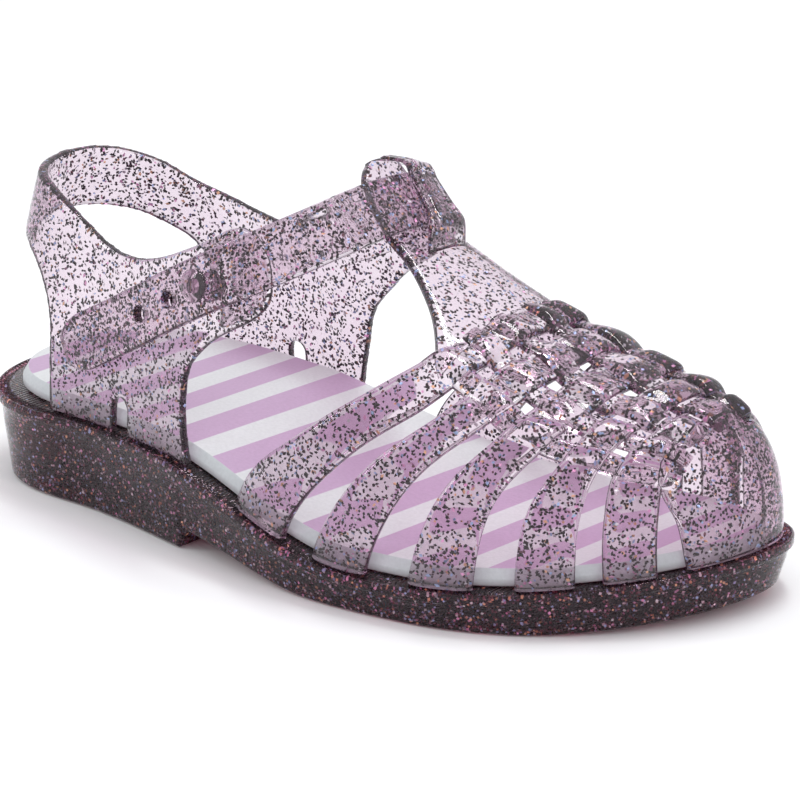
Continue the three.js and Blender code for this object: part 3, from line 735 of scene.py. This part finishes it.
# The weave's shares of the length, the six edges of its five strands, in degrees round the vamp
# from the bar to the cap, and the shares where each strand turns under or over.
weave_from = 0.695
weave_to = 0.955
strand_edges = [
    [57, 53.5, 47, 43, 40, 36], [69, 65, 59.5, 54, 51, 49], [80.5, 78, 73, 67, 64, 62],
    [90, 88, 86, 83, 80, 79], [99, 98.5, 98, 97, 96, 95], [112, 114, 114, 114, 113, 112],
]
turns = [0.695, 0.745, 0.804, 0.865, 0.914, 0.955]


def strand_edge(j, share):
    return along(strand_edges[j], (share - weave_from) / (weave_to - weave_from))


def wave(over, f):
    return (weave_rise if over else -cross_sink) * np.sin(np.pi * f)


def strip_section(count=32, square=5):
    """Rounded section of a strip: way across from 0 to 1, and way up from 0 to 1."""
    t = 2 * np.pi * np.arange(count) / count
    c = np.sign(np.cos(t)) * np.abs(np.cos(t)) ** (2 / square)
    s = np.sign(np.sin(t)) * np.abs(np.sin(t)) ** (2 / square)
    return 0.5 + 0.5 * c, 0.5 + 0.5 * s


def loft(name, sections):
    """Closed body through sections of equal point count."""
    sections = np.asarray(sections)
    rows, columns = sections.shape[:2]
    last = (rows - 1) * columns
    faces = grid_faces(rows, columns, True)
    faces.append(tuple(range(columns))[::-1])
    faces.append(tuple(last + k for k in range(columns)))
    made = new_object(name, sections.reshape(-1, 3), faces)
    face_out(made)
    return made


def sheet(name, outer, inner):
    """Closed sheet between two layers of points."""
    rows, columns = outer.shape[:2]
    n = rows * columns
    faces = grid_faces(rows, columns, False)
    faces += [face[::-1] for face in grid_faces(rows, columns, False, n)]
    border = [j for j in range(columns)]
    border += [i * columns + columns - 1 for i in range(1, rows)]
    border += [(rows - 1) * columns + j for j in range(columns - 2, -1, -1)]
    border += [i * columns for i in range(rows - 2, 0, -1)]
    for a, b in zip(border, border[1:] + border[:1]):
        faces.append((b, a, n + a, n + b))
    made = new_object(name, np.concatenate([outer.reshape(-1, 3), inner.reshape(-1, 3)]), faces)
    face_out(made)
    return made


def shade(made, degrees=32):
    """Smooth shading that stays crisp where bodies meet."""
    made.data.shade_smooth()
    made.data.set_sharp_from_angle(angle=math.radians(degrees))


def rounded_top(lift):
    """Heights across a strip's top, with a slight crown."""
    return lift[:, None] + crown * (1 - (2 * across[None] - 1) ** 4)


strips = []
across, upward = strip_section()
for index in range(len(cross_rear)):
    angles = np.linspace(0, 180, 241)
    half = 1 - np.abs(1 - angles / 90)
    rear = along(cross_rear[index], half)
    front = along(cross_front[index], half)
    lift = np.zeros_like(angles)
    for j in range(5):
        start = strand_edge(j, (rear + front) / 2)
        end = strand_edge(j + 1, (rear + front) / 2)
        inside = (angles > start) & (angles < end)
        lift = np.where(inside, wave((index + j) % 2 == 0, (angles - start) / (end - start)), lift)
    top = rounded_top(lift)
    thinner = (wall - strand_wall) * blend(angles, *thin_outer) * blend(180 - angles, *thin_inner)
    thick = (wall - thinner)[:, None]
    out = -thick + (top + thick) * upward[None]
    shares = rear[:, None] + (front - rear)[:, None] * across[None]
    strips.append(loft("strip", vamp(shares, angles[:, None], out)))

for j in range(5):
    shares = np.linspace(weave_from, weave_to, 181)
    start = strand_edge(j, shares) + (strand_gap if j > 0 else 0)
    end = strand_edge(j + 1, shares) - (strand_gap if j < 4 else 0)
    lift = np.zeros_like(shares)
    for k in range(5):
        inside = (shares > turns[k]) & (shares < turns[k + 1])
        f = (shares - turns[k]) / (turns[k + 1] - turns[k])
        lift = np.where(inside, wave((k + j) % 2 == 1, f), lift)
    out = -strand_wall + (rounded_top(lift) + strand_wall) * upward[None]
    angles = start[:, None] + (end - start)[:, None] * across[None]
    strips.append(loft("strip", vamp(shares[:, None], angles, out)))

# The cap: its rows run from its edge to the toe, and its edge is rounded over the first
# millimetres of cap_run.
cap_run = 14
angles = np.linspace(0, 180, 181)[None]
rear = along(cap_edge, 1 - np.abs(1 - angles / 90))
f = (np.linspace(0, 1, 49) ** 1.5)[:, None]
shares = 1 - (1 - rear) * (1 - f) ** 1.6
way = np.minimum(1, f * cap_run / cap_round)
rounding = cap_round * (1 - np.sqrt(1 - (1 - way) ** 2)) + 0 * angles
cap_skin = vamp(shares, angles, -rounding)
strips.append(sheet("cap", cap_skin, vamp(shares, angles, rounding - cap_thickness)))

# The T-bar: its outer and inner edges in degrees round the vamp, from its rounded end to the weave.
bar_from = 0.5
bar_to = 0.705
bar_round = 7
bar_blunt = 1.6
bar_outer = [86.5, 85, 83.4, 79, 71, 57]
bar_inner = [110, 110.5, 111, 113, 117, 128]
f = (np.linspace(0, 1, 121) ** 1.3)[:, None]
across, upward = strip_section(56, 7)
way = np.minimum(1, (f * (bar_to - bar_from) * sole_length + bar_blunt) / bar_round)
spread = (along(bar_inner, f) - along(bar_outer, f)) * np.sqrt(1 - (1 - way) ** 2)
angles = (along(bar_inner, f) + along(bar_outer, f)) / 2 + spread * (across[None] - 0.5)
shares = bar_from + (bar_to - bar_from) * f
strips.append(loft("bar", instep(shares, angles, bar_thickness * (upward[None] - 1) + 0 * f)))

# The keeper bridges the ankle strap. Its rows are heights of its under and outer face, as shares
# of the room that the strap needs.
strap_thickness = 2
strap_gap = 1.1
keeper_width = 8.8
keeper_thickness = 1.7
keeper_ridge = 0.42
ridge_places = (0.2, 0.8)
ridge_width = 0.06
keeper_from = 0.4985
keeper_to = 0.596
keeper_middle = (104, 95)
keeper_radius = 0.47
strap_room = strap_gap + strap_thickness + 2 * clearance
keeper_inner = [-0.33, 1.03, 1.05, 1.08, 1.08, 1.05, 1, 0.4, -0.33]
keeper_outer = [-0.4, 1, 1.05, 1.08, 1.08, 1.05, 1, 0.75, -0.4]
f = np.linspace(0, 1, 101)[:, None]
across, upward = strip_section(72, 8)
ridges = sum(np.exp(-((across - place) / ridge_width) ** 2) for place in ridge_places)[None]
degrees = math.degrees(keeper_width / (instep_height * keeper_radius))
angles = keeper_middle[0] + (keeper_middle[1] - keeper_middle[0]) * f
angles = angles + degrees * (across[None] - 0.5)
shares = keeper_from + (keeper_to - keeper_from) * f
room = along(keeper_inner, f) * strap_room
top = along(keeper_outer, f) * strap_room + keeper_thickness
out = room + (top + keeper_ridge * ridges - room) * upward[None]
strips.append(loft("keeper", instep(shares, angles, out)))

toe_piece = strips[0]
toe_piece.name = "toe_moulding"
for strip in strips[1:]:
    cut(toe_piece, strip, "UNION")
shade(toe_piece)
upper_pvc = pvc(
    "lilac_pvc", tint=(0.9, 0.84, 0.88), body=(0.97, 0.95, 0.965), absorb=(84, 138, 102),
    roughness=0.04, milky=0.025, wave_size=0.012, wave_depth=0.00005,
)
toe_piece.data.materials.clear()
toe_piece.data.materials.append(upper_pvc)
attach(toe_piece, "root")
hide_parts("toe_piece")

# Glitter in the toe piece: the same cut foil flakes, stirred into the lilac plastic, most of them
# dark against it.
toe_flakes = 15500
upper_flake_size = (0.22, 0.36)
upper_flake_depth = (0.25, 1.2)
upper_mix = (0.7, 0.05, 0.09, 0.05, 0.06, 0.05)
toe_glitter = glitter(
    "toe_glitter", toe_piece, toe_flakes, upper_flake_size, upper_flake_depth,
    mix=upper_mix, tilt=24, stretch=1.8, seed=11, sparse=0.2,
)
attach(toe_glitter, "root")

# Heel piece: the rear half of the upper, moulded in one: quarters cut open at the sides, a heel
# strap over the open back, and the ankle strap that grows out of the inner quarter.
quarter_wall = 2.2
ankle_height = 68
strap_width = 11.6
lean = {"back": 0.19, "side": 0.27, "height": 50, "power": 1.5}
heel_middle = 0.273
tab_turn = {"by": 0.22, "x": (0.42, 0.535), "z": (0.65, 0.97)}


def quarter(share, side, z, out):
    x, y, s = edge(share, side, foot_inset - out)
    f = (np.maximum(0, z - rim_z(s)) / lean["height"]) ** lean["power"]
    middle = heel_middle * sole_length
    x = np.where(x < middle, middle + (x - middle) * (1 - lean["back"] * f), x)
    turn = tab_turn["by"] * blend(x / sole_length, *tab_turn["x"])
    turn = turn * blend(z / ankle_height, *tab_turn["z"])
    return at(x, y * (1 - lean["side"] * f) * (1 - turn), z)


# Side view of the outer and the inner quarter, each as rows of place and height: its front edge,
# its top, the edge of the open heel, and the small arched opening at its foot.
quarter_edges = {
    -1: {
        "front": [
            (0.397, 0.15), (0.3965, 0.25), (0.387, 0.353), (0.382, 0.456), (0.386, 0.54),
            (0.401, 0.593), (0.422, 0.643), (0.446, 0.683), (0.471, 0.72), (0.487, 0.756),
            (0.492, 0.795), (0.487, 0.85), (0.475, 0.91), (0.459, 0.956), (0.441, 0.973),
        ],
        "top": [
            (0.422, 0.958), (0.393, 0.912), (0.359, 0.868), (0.325, 0.829), (0.291, 0.803),
            (0.256, 0.796), (0.222, 0.815), (0.188, 0.857), (0.154, 0.901), (0.114, 0.935),
            (0.057, 0.953), (-0.03, 0.956),
        ],
        "back": [
            (0.154, 0.15), (0.153, 0.28), (0.149, 0.5), (0.147, 0.545), (0.136, 0.628),
            (0.111, 0.706), (0.068, 0.755), (0.02, 0.775), (-0.03, 0.78),
        ],
        "arch": (0.271, 26),
    },
    1: {
        "front": [
            (0.379, 0.15), (0.379, 0.25), (0.387, 0.365), (0.394, 0.436), (0.399, 0.493),
            (0.409, 0.55), (0.43, 0.61), (0.458, 0.684), (0.493, 0.748), (0.512, 0.787),
            (0.5185, 0.83), (0.515, 0.885), (0.501, 0.95), (0.482, 0.99), (0.464, 0.998),
        ],
        "top": [
            (0.424, 0.956), (0.397, 0.902), (0.364, 0.838), (0.331, 0.79), (0.298, 0.76),
            (0.265, 0.751), (0.232, 0.762), (0.203, 0.782), (0.149, 0.824), (0.107, 0.895),
            (0.06, 0.95), (0.01, 0.956), (-0.03, 0.956),
        ],
        "back": [
            (0.154, 0.15), (0.153, 0.28), (0.15, 0.5), (0.147, 0.56), (0.135, 0.627),
            (0.108, 0.68), (0.073, 0.733), (0.02, 0.773), (-0.03, 0.78),
        ],
        "arch": (0.277, 24.8),
    },
}
arch_radius = 2.3
quarter_reach = 0.53
quarter_top = 1.04


def smooth_line(rows, count):
    """Smooth side-view line through rows of place and height, in millimetres."""
    rows = np.array(rows)
    share = np.linspace(0, 1, count + 1)
    line = [along(rows[:, 0], share) * sole_length, along(rows[:, 1], share) * ankle_height]
    return np.stack(line, 1)


def side_slab(outline, side):
    """A slab over one side of the shoe and a little past its middle, with a side-view outline."""
    outline = np.asarray(outline)
    n = len(outline)
    near = at(outline[:, 0], -side * 0.5, outline[:, 1])
    far = at(outline[:, 0], side * ball_width, outline[:, 1])
    faces = [tuple(range(n)), tuple(range(2 * n - 1, n - 1, -1))]
    faces += [(k, (k + 1) % n, n + (k + 1) % n, n + k) for k in range(n)]
    made = new_object("slab", np.concatenate([near, far]), faces)
    face_out(made)
    return made


round_steps = 140
foot = quarter_reach * (1 - np.cos(np.pi / 2 * np.arange(round_steps + 1) / round_steps))
foot_shares = np.concatenate([foot[::-1], foot[1:]])[:, None]
foot_sides = np.concatenate([-np.ones(round_steps + 1), np.ones(round_steps)])[:, None]
foot_base = rim_z(foot_shares) + clearance
heights = foot_base + (quarter_top * ankle_height - foot_base) * np.linspace(0, 1, 91)[None]
heel_piece = sheet(
    "heel_moulding",
    quarter(foot_shares, foot_sides, heights, 0.0),
    quarter(foot_shares, foot_sides, heights, -quarter_wall),
)
behind = -ball_width / 4
arc = np.radians(np.linspace(0, 180, 25))
outlines = []
openings = []
for side, edges in quarter_edges.items():
    outlines.append(side_slab(np.concatenate([
        [(behind, 0), (edges["front"][0][0] * sole_length, 0)], smooth_line(edges["front"], 120),
        smooth_line(edges["top"], 100), [(behind, edges["top"][-1][1] * ankle_height)],
    ]), side))
    openings.append(side_slab(np.concatenate([
        [(behind, -1), (edges["back"][0][0] * sole_length, -1)], smooth_line(edges["back"], 80),
        [(behind, edges["back"][-1][1] * ankle_height)],
    ]), side))
    middle, high = edges["arch"][0] * sole_length, edges["arch"][1]
    openings.append(side_slab(np.concatenate([
        [(middle - arch_radius, -1), (middle + arch_radius, -1)],
        np.stack([middle + arch_radius * np.cos(arc), high - arch_radius * (1 - np.sin(arc))], 1),
    ]), side))
cut(outlines[0], outlines[1], "UNION")
cut(heel_piece, outlines[0], "INTERSECT")
for tool in openings:
    cut(heel_piece, tool)
fuse = heel_piece.modifiers.new("fuse", "REMESH")
fuse.mode = "VOXEL"
fuse.voxel_size = 0.0004
ease = heel_piece.modifiers.new("ease", "SMOOTH")
ease.factor = 0.5
ease.iterations = 14
apply_modifiers(heel_piece)
heel_piece.data.shade_smooth()

# Ankle strap: a flat moulded ribbon from the inner quarter through the keeper and down the outer
# quarter, with a round end and a row of holes. It belongs to the heel piece.
# Its route has rows on the outer quarter (-1), over the instep (0) and on the inner quarter (1):
# share of the length, then share of the ankle height, or degrees round the vamp over the instep.
strap_route = [
    (-1, 0.188, 0.485), (-1, 0.248, 0.57), (-1, 0.308, 0.658), (-1, 0.365, 0.744),
    (-1, 0.422, 0.824), (-1, 0.47, 0.89), (0, 0.526, 67), (0, 0.5335, 77), (0, 0.537, 88),
    (0, 0.5375, 100), (0, 0.531, 114), (1, 0.47, 0.885), (1, 0.422, 0.815), (1, 0.365, 0.75),
]
outer_lift = 2 * clearance + strap_thickness / 2
instep_lift = strap_gap + strap_thickness / 2
inner_lift = -quarter_wall / 2 + 0.2
search_rounds = 12
small_step = 0.01


def quarter_at(place, high, side, out):
    """Point of a quarter at a place along the shoe, found round by round because it leans."""
    share = place
    for _ in range(search_rounds):
        p = quarter(share, side, high * ankle_height, out)
        share = share + place - (p[..., 0] + middle_x) / sole_length
    return quarter(share, side, high * ankle_height, out)


def strap_station(side, a, b):
    """Centre and outward direction of the strap at one row of its route."""
    small = small_share
    if side == 0:
        centre = instep(a, b, instep_lift)
        forward = instep(a + small, b, instep_lift) - instep(a - small, b, instep_lift)
        sideways = instep(a, b + 1, instep_lift) - instep(a, b - 1, instep_lift)
        out = np.cross(forward, sideways)
    else:
        lift = outer_lift if side < 0 else inner_lift
        centre = quarter_at(a, b, side, lift)
        forward = quarter_at(a + small, b, side, lift) - quarter_at(a - small, b, side, lift)
        higher = quarter_at(a, b + 3 * small, side, lift) - quarter_at(a, b - 3 * small, side, lift)
        out = np.cross(forward, higher) * -side
    return np.concatenate([centre, out / np.linalg.norm(out)])


strap_rows = np.array([strap_station(*row) for row in strap_route])
strap_run = np.linalg.norm(np.diff(strap_rows[:, :3], axis=0), axis=1).sum()


def strap_frame(share):
    """Centre, way, outward and widthwise directions of the strap at shares of its route."""
    def read(s):
        return np.stack([along(strap_rows[:, k], s) for k in range(6)], -1)

    now = read(share)
    way = read(share + small_step)[..., :3] - read(share - small_step)[..., :3]
    way /= np.linalg.norm(way, axis=-1, keepdims=True)
    out = now[..., 3:]
    out = out - way * (out * way).sum(-1, keepdims=True)
    out /= np.linalg.norm(out, axis=-1, keepdims=True)
    return now[..., :3], way, out, np.cross(out, way)


tip_length = 7
tip_blunt = 1
shares = np.concatenate([np.linspace(0, 0.06, 30)[:-1], np.linspace(0.06, 1, 260)])
centre, way, out, width = strap_frame(shares)
tip = np.minimum(1, (shares * strap_run + tip_blunt) / tip_length)
half = strap_width / 2 * np.sqrt(1 - (1 - tip) ** 2)
across, upward = strip_section(36, 7)
v = (2 * across - 1)[None, :, None]
u = (2 * upward - 1)[None, :, None]
strap_points = centre[:, None] + width[:, None] * half[:, None, None] * v
strap_points = strap_points + out[:, None] * u * strap_thickness / 2
cut(heel_piece, loft("strap", strap_points), "UNION")

# The strap's holes, counted from the one under the stud towards its free end.
stud_place = 0.28
stud_holes = 3
stud_hole_pitch = 8.5
stud_shank = 3


def turned_body(name, share, rows, steps=48):
    """Turned body on the strap: rows of radius and height along the strap's outward direction."""
    centre, way, out, width = strap_frame(np.array(share))
    turn = 2 * np.pi * np.arange(steps) / steps
    points = [centre + out * rows[0][1]]
    for radius, high in rows:
        circle = way * np.cos(turn)[:, None] + width * np.sin(turn)[:, None]
        points += list(centre + out * high + circle * radius)
    points.append(centre + out * rows[-1][1])
    faces = [(0, 1 + k, 1 + (k + 1) % steps) for k in range(steps)]
    faces += grid_faces(len(rows), steps, True, 1)
    last = 1 + (len(rows) - 1) * steps
    faces += [(last + steps, last + (k + 1) % steps, last + k) for k in range(steps)]
    made = new_object(name, points, faces)
    face_out(made)
    return made


hole_radius = stud_shank / 2 + clearance
for index in range(stud_holes):
    deep = strap_thickness + 3 * quarter_wall if index == 0 else strap_thickness
    place = stud_place - index * stud_hole_pitch / strap_run
    hole = [(hole_radius, -deep), (hole_radius, strap_thickness)]
    cut(heel_piece, turned_body("hole", place, hole))
shade(heel_piece)
heel_piece.data.materials.clear()
heel_piece.data.materials.append(upper_pvc)
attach(heel_piece, "root")
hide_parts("heel_piece")

# Glitter in the heel piece: the same flakes in the same plastic.
heel_flakes = 11500
heel_glitter = glitter(
    "heel_glitter", heel_piece, heel_flakes, upper_flake_size, upper_flake_depth,
    mix=upper_mix, tilt=24, stretch=1.8, seed=23, sparse=0.2,
)
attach(heel_glitter, "root")

# Stud: a small turned button of the same clear plastic. Its shank goes through the strap's hole
# and the quarter, and a flange behind holds it.
stud_head = 6.6
stud_head_thickness = 1.3
rim_bevel = 0.2
dome = (0.5, 0.65)
flange_taper = (0.8, 0.9)
face = strap_thickness / 2 + clearance
behind_wall = -outer_lift - quarter_wall - clearance
flange = behind_wall - stud_head_thickness
stud_rows = [(flange_taper[0] * stud_head / 2, flange)]
stud_rows += [(flange_taper[1] * stud_head / 2, behind_wall)]
stud_rows += [(stud_shank / 2, behind_wall), (stud_shank / 2, face)]
stud_rows += [(stud_head / 2 - rim_bevel, face), (stud_head / 2, face + rim_bevel)]
for turn in np.radians(np.linspace(0, 85, 9)):
    stud_rows.append((
        stud_head / 2 * math.cos(turn),
        face + dome[0] * stud_head_thickness + dome[1] * stud_head_thickness * math.sin(turn),
    ))
stud = turned_body("closing_stud", stud_place, stud_rows)
stud.data.materials.append(upper_pvc)
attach(stud, "root")
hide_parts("stud")

low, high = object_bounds()
